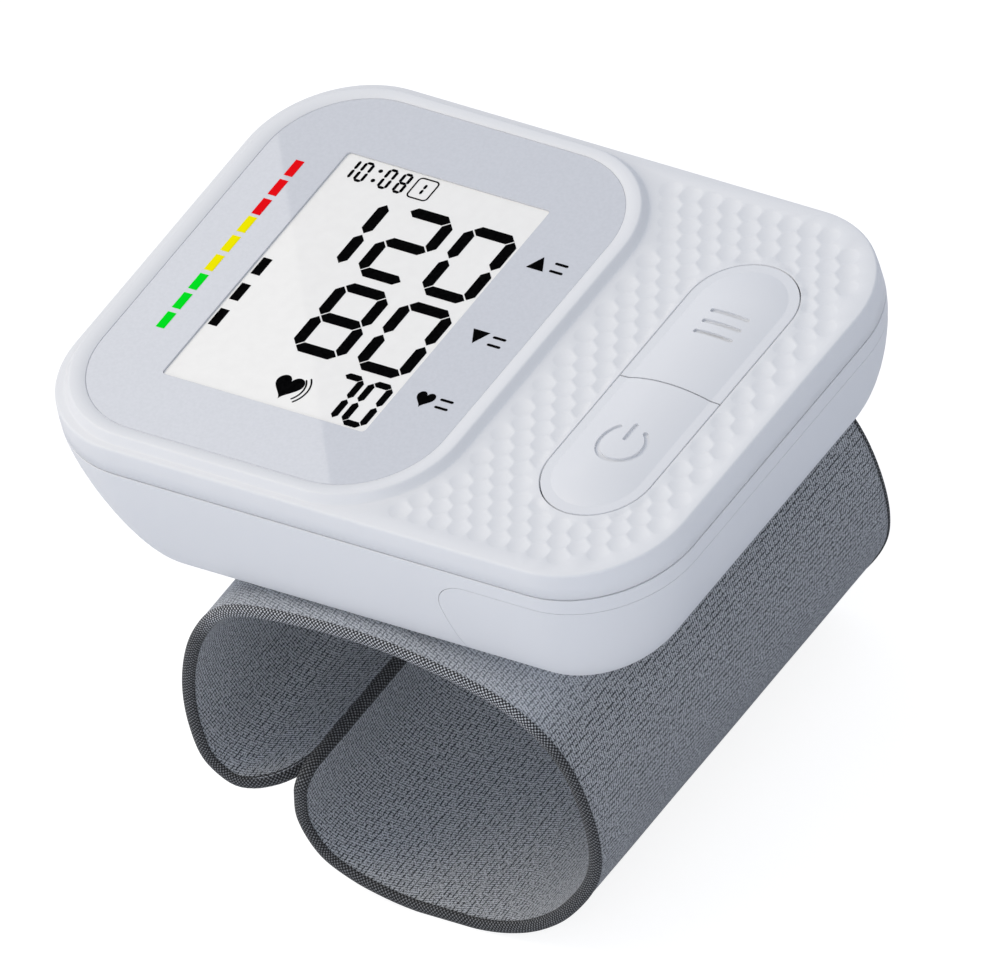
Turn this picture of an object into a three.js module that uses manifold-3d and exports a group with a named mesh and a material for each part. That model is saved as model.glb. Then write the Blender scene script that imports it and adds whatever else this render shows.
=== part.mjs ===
// Wrist blood pressure monitor: a white case with a raised display, on a curled knitted cuff.
// Millimetres, +Z up. X runs along the display's lines, Y towards the top of the display.
// The origin is under the middle of the case, at the level of the cuff's lowest side.

import * as THREE from 'three';
import { mergeVertices } from 'three/addons/utils/BufferGeometryUtils.js';
import Module from 'manifold-3d';

const wasm = await Module();
wasm.setup();

// Heights of the case
const LENS_TOP = 62.95;
const PLATFORM_TOP = 63;
const FIELD_TOP = 62;
const ROOF_UNDER = 60.4;
const LEDGE_TOP = 61.7;
const PARTING = 58.4;
const PARTING_GAP = 0.1;
const DOOR_SEAM = 56.2;
const CASE_BOTTOM = 43;

// Plan of the case: half length, half width and corner radius from the parting line up to the top edge,
// and at the floor
const RIM = { x: 40.75, y: 30.25, r: 13.3 };
const SIDE_LOW = { x: 40.72, y: 30.2, r: 13.2, z: 60.4 };
const SIDE_HIGH = { x: 40.65, y: 30.12, r: 13.1, z: 61.55 };
const CREST = { x: 40.35, y: 29.85, r: 12.9 };
const FLOOR = { x: 33.3, y: 26.7, r: 9 };
// Fullness of the sides under the parting line: 1 is a straight slope, 2 a quarter ellipse
const BELLY_POWER = 1.4;
const WALL = 1.5;
// How much tighter the inner corners of the floor are than the outer ones
const INNER_SQUARING = 4;

// Display side
const PLATFORM = { x0: -39.3, x1: 10.3, y: 28.8, r: 12.5 };
// Fillet round the platform's foot and the softened top edge, as insets and heights above the field
const PLATFORM_PROFILE = [[-0.6, -1.1], [-0.6, 0.05], [-0.15, 0.3], [0, 0.7], [0.3, 1]];
const LENS = { x0: -37.2, x1: 8.4, y: 27.2, r: 11 };
const WINDOW = { x0: -27.6, x1: -0.8, y: 18.5, r: 0.6 };
const LCD = { x0: -28.7, x1: 0.3, y: 19.75, z0: 58.7, z1: 60.2 };
const LCD_FRAME_WALL = 1.2;
const ZEBRA = { inset: 1.5, y: [1, 3] };
const FIT = 0.2;
// Air left between pieces that lie on each other, and how far a cutting tool reaches past what it cuts
const AIR = 0.1;
const OVER = 1;

// Buttons: one long slot, split across its middle
const BUTTON_X = 27.1;
const SLOT_HALF = 6.8;
const SLOT_END = 20.6;
const BUTTON_GAP = 0.25;
const BUTTON_SPLIT = 0.15;
const BUTTON_WALL = 1.3;
const BUTTON_FLANGE = 0.9;
const FLANGE_Z0 = 59.5;
const FLANGE_Z1 = 60.1;
const CROWN_TOP = 62.65;
// Cap of a button, as insets and heights: flange, wall, rim and crown
const CAP_PROFILE = [
  [-BUTTON_FLANGE, FLANGE_Z0], [-BUTTON_FLANGE, FLANGE_Z1], [0, FLANGE_Z1], [0, FIELD_TOP - 0.2],
  [0.2, FIELD_TOP], [1.2, FIELD_TOP + 0.08], [2.4, FIELD_TOP + 0.35], [4.2, CROWN_TOP],
];
const HOLLOW_ROOF = 60.9;
const SPLIT_WALL = 0.8;
const STEM = [59.8, 61.3];
const SWITCH_Y = 10.5;
const SWITCH_SIZE = 6;
const SWITCH_TOP = 59.2;
const SWITCH_WELL = 58.25;
const ACTUATOR_R = 1.5;
const ACTUATOR = [58.9, 59.7];

// Board
const BOARD_Z0 = 57.1;
const BOARD_Z1 = 57.9;
const BOARD = { x0: -29.6, x1: 37, y: 20.8, r: 6 };
const CHIP = { x: [-2, 8], y: [-16, -6], height: 1.3 };
const BUZZER = { x: 4, y: 8, r: 4.5, height: 3.5 };

// Battery bay: two AAA cells side by side along Y, behind a door that slides off along +X
const DOOR_X = 13.5;
const DOOR_CORNER = 5;
const DOOR_GAP = 0.3;
const CELL_R = 5.25;
const CELL_BODY = 43.5;
const CELL_NUB_R = 1.9;
const CELL_NUB = 1;
const CELL_X = [16.1, 26.7];
const CELL_Z = 50.75;
const CONTACT_HALF = 3.2;
const CONTACT_DROP = 2;
const CONTACT_Y = [22.5, 23];
const BAY_LEFT = 9.6;
const BAY_WALL = 1;
const BAY_END = 23.5;
const BAY_ROOF = [56.1, 56.9];

// Screws: places, and the height of the seat under the heads
const SCREWS = [[-18, -23.9], [-18, 23.9], [6.3, -23.9], [6.3, 23.9]];
const SCREW_SEAT = 48;
const BOSS_R = 3.2;
const BOSS_HEIGHT = 1.9;
const POST_R = 2.75;
const SCREW_HOLE_R = 1.4;
const SCREW_R = 1.1;
const SCREW_HEAD_R = 2.3;
const SCREW_HEAD = 1.5;
const SCREW_TIP = 57;
const HEAD_RECESS_R = 2.6;
const SHANK_OVERLAP = 0.5;
const POST_GAP = 0.3;
const POST_OVERLAP = 0.4;

// Air path
const PUMP = { x: -20, z: 51, r: 5.5, motor: [-19.8, -3.5], head: [-3.2, 8] };
const AIR_X = -8;
const AIR_Z = 49.8;
const TEE = { half: 3, z0: 47.3, z1: 52 };
const HOSE_R = 1.6;
const HOSE_GAP = 0.3;
const NIPPLE_R = 2.2;
const NIPPLE_BOTTOM = 41.4;
const NIPPLE_HOLE_R = 2.6;
const NIPPLE_HOLE = [38, 47];
const VALVE = { r: 4, y: [-20, -7] };
const SENSOR = { half: 3.5, y: [8, 16], z0: 48, z1: 56.8 };

// Cuff: outer face of the curled strap seen from the front, as X and Z from the left tip to the right tip
const STRAP_KNOTS = [
  [-17.3, 12], [-21, 11.5], [-24.9, 11.7], [-28.2, 14.4], [-29, 19.5],
  [-27.9, 27], [-24.3, 34.9], [-19, 40.1], [-7.4, 42.2], [6, 41.6], [18.5, 37.7], [23.8, 32.1], [25.6, 23.5],
  [24.2, 14.5], [18.4, 6.9], [12.6, 2.5], [7.8, 0], [-7.6, 0], [-12, 1.3], [-15.7, 4.3], [-17.3, 9.2],
  [-16.7, 13.4], [-15.7, 16.8],
];
const LEFT_HINGE_KNOT = 4;
const RIGHT_HINGE_KNOT = 12;
const STEPS_PER_KNOT = 3;
const HINGE_GAP = 0.04;
const CUFF_EDGE = 29;
const BINDING = 1;
const BINDING_GAP = 0.1;
const BLADDER_EDGE = 23;
const BLADDER_KNOTS = [5.5, 11.5];
// Depths of the layers below the outer face
const OUTER_LAYER = [0, 0.4];
const STAY_LAYER = [0.5, 0.8];
const BLADDER_LAYER = [1, 1.3];
const FLAP_LINING_LAYER = [0.9, 1.4];
const CENTER_LINING_LAYER = [1.5, 1.9];
const BINDING_LAYER = [0, 1.5];
const HOOK_LAYER = [-0.55, -0.1];
const HOOK_KNOTS = [1, 3];
const HOOK_EDGE = 18;

// Plate between the case and the cuff
const PLATE = { x0: -16, x1: 10, y: 20, top: 42.8, clear: 0.2 };
const SNAP_R = 1.5;
const SNAP_CLEAR = 0.3;
const SNAP_ROOT = 0.4;
const SNAP_TOP = 46;
const SNAPS = [[-13, -15], [-13, 15], [6, -15], [6, 15]];

const PLAN_STEPS = 8;

// Materials
function finish(color, roughness, metalness = 0) {
  return new THREE.MeshStandardMaterial({ color, roughness, metalness });
}

const WHITE = finish(0xdee1e6, 0.38);
const BUTTON_WHITE = finish(0xd8dbe2, 0.34);
const LENS_GREY = finish(0xc9cdd6, 0.12);
const LCD_WHITE = finish(0xececec, 0.5);
const FRAME_BLACK = finish(0x22252a, 0.6);
const RUBBER = finish(0x3c3f44, 0.8);
const BOARD_GREEN = finish(0x1d5a3a, 0.5);
const STEEL = finish(0xa9adb2, 0.35, 1);
const BRASS = finish(0xb99a55, 0.4, 1);
const SILICONE = finish(0xcfd3d6, 0.6);
const CELL_SLEEVE = finish(0x4b5a6c, 0.4);
const KNIT = finish(0x747980, 0.95);
const KNIT_DARK = finish(0x5a5e65, 0.95);
const TAPE = finish(0x3d4046, 0.9);
const STAY_PLASTIC = finish(0xd0d0cc, 0.5);

const object = new THREE.Group();

function addPiece(name, geometry, material) {
  const mesh = new THREE.Mesh(geometry, material);
  mesh.name = name;
  object.add(mesh);
}

// Solids from geometry, and back
function toSolid(geometry) {
  const bare = geometry.clone();
  bare.deleteAttribute('normal');
  bare.deleteAttribute('uv');
  const merged = mergeVertices(bare, 1e-4);
  const vertProperties = new Float32Array(merged.attributes.position.array);
  const triVerts = new Uint32Array(merged.index.array);
  return new wasm.Manifold(new wasm.Mesh({ numProp: 3, vertProperties, triVerts }));
}

function toGeometry(solid) {
  const mesh = solid.getMesh();
  const geometry = new THREE.BufferGeometry();
  geometry.setAttribute('position', new THREE.BufferAttribute(mesh.vertProperties.slice(), 3));
  geometry.setIndex(new THREE.BufferAttribute(mesh.triVerts.slice(), 1));
  return geometry;
}

function join(...geometries) {
  return toGeometry(geometries.map(toSolid).reduce((whole, next) => whole.add(next)));
}

function cut(geometry, ...tools) {
  return toGeometry(tools.map(toSolid).reduce((whole, tool) => whole.subtract(tool), toSolid(geometry)));
}

function common(a, b) {
  return toGeometry(toSolid(a).intersect(toSolid(b)));
}

// Basic shapes
function block(x0, x1, y0, y1, z0, z1) {
  const geometry = new THREE.BoxGeometry(x1 - x0, y1 - y0, z1 - z0);
  return geometry.translate((x0 + x1) / 2, (y0 + y1) / 2, (z0 + z1) / 2);
}

function uprightCylinder(x, y, radius, z0, z1, sides = 20) {
  const geometry = new THREE.CylinderGeometry(radius, radius, z1 - z0, sides).rotateX(Math.PI / 2);
  return geometry.translate(x, y, (z0 + z1) / 2);
}

function cylinderAlongY(x, z, radius, y0, y1, sides = 24) {
  const geometry = new THREE.CylinderGeometry(radius, radius, y1 - y0, sides);
  return geometry.translate(x, (y0 + y1) / 2, z);
}

function cylinderAlongX(y, z, radius, x0, x1, sides = 16) {
  const geometry = new THREE.CylinderGeometry(radius, radius, x1 - x0, sides).rotateZ(Math.PI / 2);
  return geometry.translate((x0 + x1) / 2, y, z);
}

// A flat ring of points, counterclockwise: a rectangle with round corners
function roundedRing(x0, x1, y0, y1, radius, z) {
  const corners = [
    [x1 - radius, y1 - radius, 0], [x0 + radius, y1 - radius, 1],
    [x0 + radius, y0 + radius, 2], [x1 - radius, y0 + radius, 3],
  ];
  const ring = [];
  for (const [cx, cy, quarter] of corners) {
    for (let i = 0; i <= PLAN_STEPS; i += 1) {
      const angle = (quarter + i / PLAN_STEPS) * Math.PI / 2;
      ring.push([cx + radius * Math.cos(angle), cy + radius * Math.sin(angle), z]);
    }
  }
  return ring;
}

function caseRing({ x, y, r }, z, inset = 0) {
  return roundedRing(inset - x, x - inset, inset - y, y - inset, r - inset, z);
}

function panelRing({ x0, x1, y, r }, z, inset = 0) {
  return roundedRing(x0 + inset, x1 - inset, inset - y, y - inset, r - inset, z);
}

// A solid through a stack of rings with the same number of points, closed by flat ends
function loft(rings) {
  const count = rings[0].length;
  const positions = rings.flat();
  const index = [];
  for (let k = 0; k + 1 < rings.length; k += 1) {
    for (let i = 0; i < count; i += 1) {
      const a = k * count + i;
      const b = k * count + (i + 1) % count;
      index.push(a, b, b + count, a, b + count, a + count);
    }
  }
  const middle = (ring) => [0, 1, 2].map((axis) => ring.reduce((sum, p) => sum + p[axis], 0) / count);
  const last = (rings.length - 1) * count;
  const bottomCenter = positions.push(middle(rings[0])) - 1;
  const topCenter = positions.push(middle(rings[rings.length - 1])) - 1;
  for (let i = 0; i < count; i += 1) {
    const j = (i + 1) % count;
    index.push(bottomCenter, j, i, topCenter, last + i, last + j);
  }
  const geometry = new THREE.BufferGeometry();
  geometry.setAttribute('position', new THREE.Float32BufferAttribute(positions.flat(), 3));
  geometry.setIndex(index);
  return geometry;
}

function panel(shape, z0, z1, inset = 0) {
  return loft([panelRing(shape, z0, inset), panelRing(shape, z1, inset)]);
}

// An outline of X and Z, stretched along Y to both sides of the middle
function profileAlongY(shape, half) {
  const options = { depth: 2 * half, bevelEnabled: false, curveSegments: PLAN_STEPS };
  return new THREE.ExtrudeGeometry(shape, options).rotateX(Math.PI / 2).translate(0, half, 0);
}

// Lower shell: curves from the rim down to the flat floor
const BELLY_STEPS = 12;
const BELLY_DEPTH = PARTING - PARTING_GAP - CASE_BOTTOM;

function bellySolid(inset, topOver) {
  const rings = [];
  for (let i = 0; i <= BELLY_STEPS; i += 1) {
    const angle = (1 - i / BELLY_STEPS) * Math.PI / 2;
    const reach = Math.cos(angle) ** (2 / BELLY_POWER);
    const drop = Math.sin(angle) ** (2 / BELLY_POWER);
    const ring = {
      x: FLOOR.x + (RIM.x - FLOOR.x) * reach,
      y: FLOOR.y + (RIM.y - FLOOR.y) * reach,
      r: FLOOR.r + (RIM.r - FLOOR.r) * reach - INNER_SQUARING * Math.sign(inset) * (1 - reach),
    };
    const z = PARTING - PARTING_GAP - (BELLY_DEPTH - inset) * drop;
    rings.push(caseRing(ring, z, inset));
  }
  if (topOver > 0) {
    rings.push(caseRing(RIM, PARTING - PARTING_GAP + topOver, inset));
  }
  return loft(rings);
}

function bottomShell() {
  return cut(bellySolid(0, 0), bellySolid(WALL, OVER));
}

// The region of the lower shell that the battery door takes up, with a round upper corner
function doorRegion(gap) {
  const shape = new THREE.Shape();
  shape.moveTo(DOOR_X + gap, CASE_BOTTOM - OVER);
  shape.lineTo(RIM.x + OVER, CASE_BOTTOM - OVER);
  shape.lineTo(RIM.x + OVER, DOOR_SEAM - gap);
  shape.absarc(DOOR_X + DOOR_CORNER, DOOR_SEAM - DOOR_CORNER, DOOR_CORNER - gap, Math.PI / 2, Math.PI, false);
  return profileAlongY(shape, RIM.y + OVER);
}

function snapHoles() {
  return SNAPS.map(([x, y]) => uprightCylinder(x, y, SNAP_R + SNAP_CLEAR, CASE_BOTTOM - OVER, SNAP_TOP));
}

function nippleHole() {
  return uprightCylinder(AIR_X, 0, NIPPLE_HOLE_R, ...NIPPLE_HOLE);
}

function addBottomCase() {
  const bosses = SCREWS.map(([x, y]) => (
    uprightCylinder(x, y, BOSS_R, CASE_BOTTOM, SCREW_SEAT + BOSS_HEIGHT)));
  const bayEnds = [-BAY_END - BAY_WALL, BAY_END].map((y) => (
    block(BAY_LEFT, CELL_X[1] - BAY_WALL, y, y + BAY_WALL, CELL_Z - CONTACT_DROP, BAY_ROOF[1])));
  const bayRoof = block(BAY_LEFT, RIM.x, -RIM.y, RIM.y, BAY_ROOF[0], BAY_ROOF[1]);
  const bayLeft = block(BAY_LEFT, BAY_LEFT + BAY_WALL, -RIM.y, RIM.y, CASE_BOTTOM, BAY_ROOF[1]);
  const shell = cut(bottomShell(), doorRegion(0));
  const insides = common(join(...bosses, ...bayEnds, bayRoof, bayLeft), bellySolid(WALL / 2, 0));
  const holes = SCREWS.flatMap(([x, y]) => [
    uprightCylinder(x, y, SCREW_HOLE_R, CASE_BOTTOM - OVER, PARTING),
    uprightCylinder(x, y, HEAD_RECESS_R, CASE_BOTTOM - OVER, SCREW_SEAT),
  ]);
  holes.push(...snapHoles(), nippleHole());
  addPiece('bottom_case', cut(join(shell, insides), ...holes), WHITE);
}

function addBatteryDoor() {
  addPiece('battery_door', common(bottomShell(), doorRegion(DOOR_GAP)), WHITE);
}

function addTopCover() {
  const outer = loft([
    caseRing(RIM, PARTING + PARTING_GAP), caseRing(SIDE_LOW, SIDE_LOW.z), caseRing(SIDE_HIGH, SIDE_HIGH.z),
    caseRing(CREST, FIELD_TOP),
  ]);
  const platform = loft(PLATFORM_PROFILE.map(([inset, rise]) => (
    panelRing(PLATFORM, FIELD_TOP + rise, inset))));
  const inside = loft([
    caseRing(RIM, PARTING - OVER, WALL), caseRing(RIM, PARTING + PARTING_GAP, WALL),
    caseRing(SIDE_LOW, ROOF_UNDER, WALL),
  ]);
  const slot = loft([ROOF_UNDER - OVER, FIELD_TOP + OVER].map((z) => (
    roundedRing(BUTTON_X - SLOT_HALF, BUTTON_X + SLOT_HALF, -SLOT_END, SLOT_END, SLOT_HALF - 0.001, z))));
  const posts = SCREWS.map(([x, y]) => (
    uprightCylinder(x, y, POST_R, SCREW_SEAT + BOSS_HEIGHT + POST_GAP, ROOF_UNDER + POST_OVERLAP)));
  const pilots = SCREWS.map(([x, y]) => (
    uprightCylinder(x, y, SCREW_HOLE_R, SCREW_SEAT, SCREW_TIP + POST_GAP)));
  const shell = cut(join(outer, platform), inside, panel(LENS, LEDGE_TOP, PLATFORM_TOP + OVER),
    panel(WINDOW, ROOF_UNDER - OVER, LEDGE_TOP + OVER), slot);
  addPiece('top_cover', cut(join(shell, ...posts), ...pilots), WHITE);
}

function addDisplay() {
  addPiece('display_lens', panel(LENS, LEDGE_TOP + AIR, LENS_TOP, FIT), LENS_GREY);
  addPiece('lcd_panel', block(LCD.x0, LCD.x1, -LCD.y, LCD.y, LCD.z0, LCD.z1), LCD_WHITE);
  const aroundLcd = (edge, z0, z1) => block(LCD.x0 - edge, LCD.x1 + edge, -LCD.y - edge, LCD.y + edge, z0, z1);
  const frame = aroundLcd(LCD_FRAME_WALL, BOARD_Z1 + AIR, LCD.z1 + AIR / 2);
  addPiece('lcd_frame', cut(frame, aroundLcd(FIT, BOARD_Z1, LCD.z1 + OVER)), FRAME_BLACK);
  const [near, far] = ZEBRA.y;
  const zebra = block(LCD.x0 + ZEBRA.inset, LCD.x1 - ZEBRA.inset, near - LCD.y, far - LCD.y,
    BOARD_Z1 + AIR, LCD.z0 - AIR);
  addPiece('zebra_strip', zebra, RUBBER);
}

// Half of the long button: the flat end lies at the split, and only the round side draws in towards the crown
function halfButtonRing(side, inset, z) {
  const half = SLOT_HALF - BUTTON_GAP - inset;
  const straight = SLOT_END - SLOT_HALF;
  const steps = PLAN_STEPS * 2;
  const ring = [[BUTTON_X + half, BUTTON_SPLIT, z]];
  for (let i = 0; i <= steps; i += 1) {
    const angle = i / steps * Math.PI;
    ring.push([BUTTON_X + half * Math.cos(angle), straight + half * Math.sin(angle), z]);
  }
  ring.push([BUTTON_X - half, BUTTON_SPLIT, z]);
  return side > 0 ? ring : ring.map(([x, y]) => [x, -y, z]).reverse();
}

function addButton(name, side) {
  const cap = loft(CAP_PROFILE.map(([inset, z]) => halfButtonRing(side, inset, z)));
  const hollow = loft([FLANGE_Z0 - OVER, HOLLOW_ROOF].map((z) => (
    halfButtonRing(side, BUTTON_WALL, z).map(([x, y, height]) => [x, y + side * SPLIT_WALL, height]))));
  const stem = uprightCylinder(BUTTON_X, side * SWITCH_Y, ACTUATOR_R, ...STEM);
  addPiece(`${name}_button`, join(cut(cap, hollow), stem), BUTTON_WHITE);
}

function addSwitch(name, side) {
  const y = side * SWITCH_Y;
  const half = SWITCH_SIZE / 2;
  const body = block(BUTTON_X - half, BUTTON_X + half, y - half, y + half, BOARD_Z1 + AIR, SWITCH_TOP);
  const well = uprightCylinder(BUTTON_X, y, ACTUATOR_R + FIT, SWITCH_WELL, SWITCH_TOP + OVER);
  addPiece(`${name}_switch`, cut(body, well), FRAME_BLACK);
  addPiece(`${name}_actuator`, uprightCylinder(BUTTON_X, y, ACTUATOR_R, ...ACTUATOR), RUBBER);
}

function addBoard() {
  addPiece('main_board', panel(BOARD, BOARD_Z0, BOARD_Z1), BOARD_GREEN);
  const under = BOARD_Z0 - AIR;
  addPiece('control_chip', block(...CHIP.x, ...CHIP.y, under - CHIP.height, under), FRAME_BLACK);
  const buzzer = uprightCylinder(BUZZER.x, BUZZER.y, BUZZER.r, under - BUZZER.height, under, 24);
  addPiece('buzzer', buzzer, FRAME_BLACK);
}

function addAirPath() {
  addPiece('pump_motor', cylinderAlongY(PUMP.x, PUMP.z, PUMP.r, ...PUMP.motor), STEEL);
  addPiece('pump_head', cylinderAlongY(PUMP.x, PUMP.z, PUMP.r, ...PUMP.head), FRAME_BLACK);
  addPiece('release_valve', cylinderAlongY(AIR_X, AIR_Z, VALVE.r, ...VALVE.y), STEEL);
  const onAirLine = (half, y, z0, z1) => block(AIR_X - half, AIR_X + half, ...y, z0, z1);
  addPiece('pressure_sensor', onAirLine(SENSOR.half, SENSOR.y, SENSOR.z0, SENSOR.z1), FRAME_BLACK);
  addPiece('air_tee', onAirLine(TEE.half, [-TEE.half, TEE.half], TEE.z0, TEE.z1), STAY_PLASTIC);
  const tee = TEE.half + HOSE_GAP;
  addPiece('pump_hose', cylinderAlongX(0, AIR_Z, HOSE_R, PUMP.x + PUMP.r + HOSE_GAP, AIR_X - tee), SILICONE);
  addPiece('valve_hose', cylinderAlongY(AIR_X, AIR_Z, HOSE_R, VALVE.y[1] + HOSE_GAP, -tee, 16), SILICONE);
  addPiece('sensor_hose', cylinderAlongY(AIR_X, AIR_Z, HOSE_R, tee, SENSOR.y[0] - HOSE_GAP, 16), SILICONE);
  const nipple = uprightCylinder(AIR_X, 0, NIPPLE_R, NIPPLE_BOTTOM, TEE.z0 - HOSE_GAP);
  addPiece('cuff_nipple', nipple, STAY_PLASTIC);
}

function contactStrip(x0, x1, y0, y1) {
  return block(x0 - CONTACT_HALF, x1 + CONTACT_HALF, y0, y1, CELL_Z - CONTACT_DROP, CELL_Z + CONTACT_HALF);
}

function addBatteries() {
  CELL_X.forEach((x, number) => {
    const half = (CELL_BODY + CELL_NUB) / 2;
    const outline = [[0, -half], [CELL_R, -half], [CELL_R, half - CELL_NUB], [CELL_NUB_R, half - CELL_NUB],
      [CELL_NUB_R, half], [0, half]];
    const cell = new THREE.LatheGeometry(outline.map(([r, y]) => new THREE.Vector2(r, y)), 28);
    if (number === 1) {
      cell.rotateZ(Math.PI);
    }
    addPiece(`battery_${number + 1}`, cell.translate(x, 0, CELL_Z), CELL_SLEEVE);
  });
  const [near, far] = CELL_X;
  addPiece('contact_bridge', contactStrip(near, far, -CONTACT_Y[1], -CONTACT_Y[0]), BRASS);
  addPiece('contact_plus', contactStrip(near, near, ...CONTACT_Y), BRASS);
  addPiece('contact_minus', contactStrip(far, far, ...CONTACT_Y), BRASS);
}

function addScrews() {
  SCREWS.forEach(([x, y], number) => {
    const headTop = SCREW_SEAT - AIR;
    const head = uprightCylinder(x, y, SCREW_HEAD_R, headTop - SCREW_HEAD, headTop);
    const shank = uprightCylinder(x, y, SCREW_R, headTop - SHANK_OVERLAP, SCREW_TIP, 12);
    addPiece(`case_screw_${number + 1}`, join(head, shank), STEEL);
  });
}

// The strap's outer face as a smooth curve, measured in knots, and a strip of it between two depths
const strapCurve = new THREE.CatmullRomCurve3(
  STRAP_KNOTS.map(([x, z]) => new THREE.Vector3(x, 0, z)), false, 'centripetal');

function strapPoint(knot, depth) {
  const t = knot / (STRAP_KNOTS.length - 1);
  const point = strapCurve.getPoint(t);
  const along = strapCurve.getTangent(t);
  return [point.x + along.z * depth, Math.max(point.z, 0) - along.x * depth];
}

function strapStrip(knot0, knot1, [depth0, depth1], y0, y1) {
  const steps = Math.round((knot1 - knot0) * STEPS_PER_KNOT);
  const rings = [];
  for (let i = 0; i <= steps; i += 1) {
    const knot = knot0 + (knot1 - knot0) * i / steps;
    const [outX, outZ] = strapPoint(knot, depth0);
    const [inX, inZ] = strapPoint(knot, depth1);
    rings.push([[outX, y0, outZ], [inX, y0, inZ], [inX, y1, inZ], [outX, y1, outZ]]);
  }
  return loft(rings);
}

function addBindings(name, knot0, knot1) {
  for (const [place, side] of [['near', -1], ['far', 1]]) {
    const ends = [side * CUFF_EDGE, side * (CUFF_EDGE - BINDING)].sort((a, b) => a - b);
    addPiece(`${name}_binding_${place}`, strapStrip(knot0, knot1, BINDING_LAYER, ends[0], ends[1]), TAPE);
  }
}

const CLOTH_EDGE = CUFF_EDGE - BINDING - BINDING_GAP;

function addCuffCenter() {
  const from = LEFT_HINGE_KNOT + HINGE_GAP;
  const to = RIGHT_HINGE_KNOT - HINGE_GAP;
  const strip = (layer, edge = CLOTH_EDGE, knot0 = from, knot1 = to) => (
    strapStrip(knot0, knot1, layer, -edge, edge));
  addPiece('cuff_outer_center', cut(strip(OUTER_LAYER), nippleHole()), KNIT);
  addPiece('cuff_stay', cut(strip(STAY_LAYER), nippleHole()), STAY_PLASTIC);
  addPiece('cuff_bladder', strip(BLADDER_LAYER, BLADDER_EDGE, ...BLADDER_KNOTS), RUBBER);
  addPiece('cuff_lining_center', strip(CENTER_LINING_LAYER), KNIT_DARK);
  addBindings('center', from, to);
}

function addFlap(name, knot0, knot1) {
  const strip = (layer) => strapStrip(knot0, knot1, layer, -CLOTH_EDGE, CLOTH_EDGE);
  addPiece(`${name}_flap_outer`, strip(OUTER_LAYER), KNIT);
  addPiece(`${name}_flap_stay`, strip(STAY_LAYER), STAY_PLASTIC);
  addPiece(`${name}_flap_lining`, strip(FLAP_LINING_LAYER), KNIT_DARK);
  addBindings(name, knot0, knot1);
}

function addHookPatch() {
  addPiece('hook_patch', strapStrip(...HOOK_KNOTS, HOOK_LAYER, -HOOK_EDGE, HOOK_EDGE), RUBBER);
}

// The plate's underside follows the cuff's outer face
function addMountPlate() {
  const underside = [];
  for (let knot = LEFT_HINGE_KNOT; knot <= RIGHT_HINGE_KNOT; knot += 1 / STEPS_PER_KNOT) {
    const [x, z] = strapPoint(knot, -PLATE.clear);
    if (x > PLATE.x0 && x < PLATE.x1) {
      underside.push([x, z]);
    }
  }
  const last = underside.length - 1;
  const outline = [[underside[0][0], PLATE.top], ...underside, [underside[last][0], PLATE.top]];
  const shape = new THREE.Shape(outline.map(([x, z]) => new THREE.Vector2(x, z)));
  const plate = profileAlongY(shape, PLATE.y);
  const snaps = SNAPS.map(([x, y]) => uprightCylinder(x, y, SNAP_R, PLATE.top - SNAP_ROOT, SNAP_TOP - OVER));
  addPiece('cuff_mount_plate', cut(join(plate, ...snaps), nippleHole()), STAY_PLASTIC);
}

addTopCover();
addBottomCase();
addBatteryDoor();
addDisplay();
addButton('power', -1);
addButton('memory', 1);
addSwitch('power', -1);
addSwitch('memory', 1);
addBoard();
addAirPath();
addBatteries();
addScrews();
addMountPlate();
addCuffCenter();
addFlap('left', 0, LEFT_HINGE_KNOT - HINGE_GAP);
addFlap('right', RIGHT_HINGE_KNOT + HINGE_GAP, STRAP_KNOTS.length - 1);
addHookPatch();

export default object;
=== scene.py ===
"""Looks of the wrist blood pressure monitor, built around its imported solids.

Sizes are millimetres in the frame of the solids; mesh_object() turns them into metres.
"""

import bisect
import math

import bmesh
import bpy
from mathutils import Matrix, Vector, noise
from mathutils.geometry import delaunay_2d_cdt


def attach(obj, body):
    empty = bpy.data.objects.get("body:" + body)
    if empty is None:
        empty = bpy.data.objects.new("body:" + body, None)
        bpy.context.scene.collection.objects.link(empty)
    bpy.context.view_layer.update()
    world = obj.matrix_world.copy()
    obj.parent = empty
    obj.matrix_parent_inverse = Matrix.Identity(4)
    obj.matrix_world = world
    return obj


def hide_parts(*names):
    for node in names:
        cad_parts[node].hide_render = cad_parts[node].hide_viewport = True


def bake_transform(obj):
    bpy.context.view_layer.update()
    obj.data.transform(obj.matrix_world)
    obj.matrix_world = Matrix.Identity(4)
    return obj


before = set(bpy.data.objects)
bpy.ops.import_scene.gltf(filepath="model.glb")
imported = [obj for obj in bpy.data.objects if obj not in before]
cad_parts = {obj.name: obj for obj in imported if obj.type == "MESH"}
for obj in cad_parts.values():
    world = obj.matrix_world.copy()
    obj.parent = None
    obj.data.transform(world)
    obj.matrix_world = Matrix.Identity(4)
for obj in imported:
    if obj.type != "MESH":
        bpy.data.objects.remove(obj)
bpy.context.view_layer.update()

MM = 0.001

# Points of a piece that are closer than this, in metres, are one point
WELD = 2e-7

# Angles in degrees from which an edge is sharp: most pieces, cut pieces and the lens, the top cover, cloth
SHARP = 35
CUT_SHARP = 30
COVER_SHARP = 50
CLOTH_SHARP = 60

# Camera: a parallel view, with the directions of the picture's axes and the point at its middle
PICTURE_WIDTH = 1000
PIXELS_PER_MM = 9.289
CAMERA_RIGHT = Vector((0.8097, 0.5448, -0.2181))
CAMERA_UP = Vector((-0.2380, 0.6446, 0.7265))
CAMERA_AIM = Vector((3.23, -5.11, 44.45))
CAMERA_DISTANCE = 400
CAMERA_NEAR = 10
CAMERA_FAR = 10000

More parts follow.
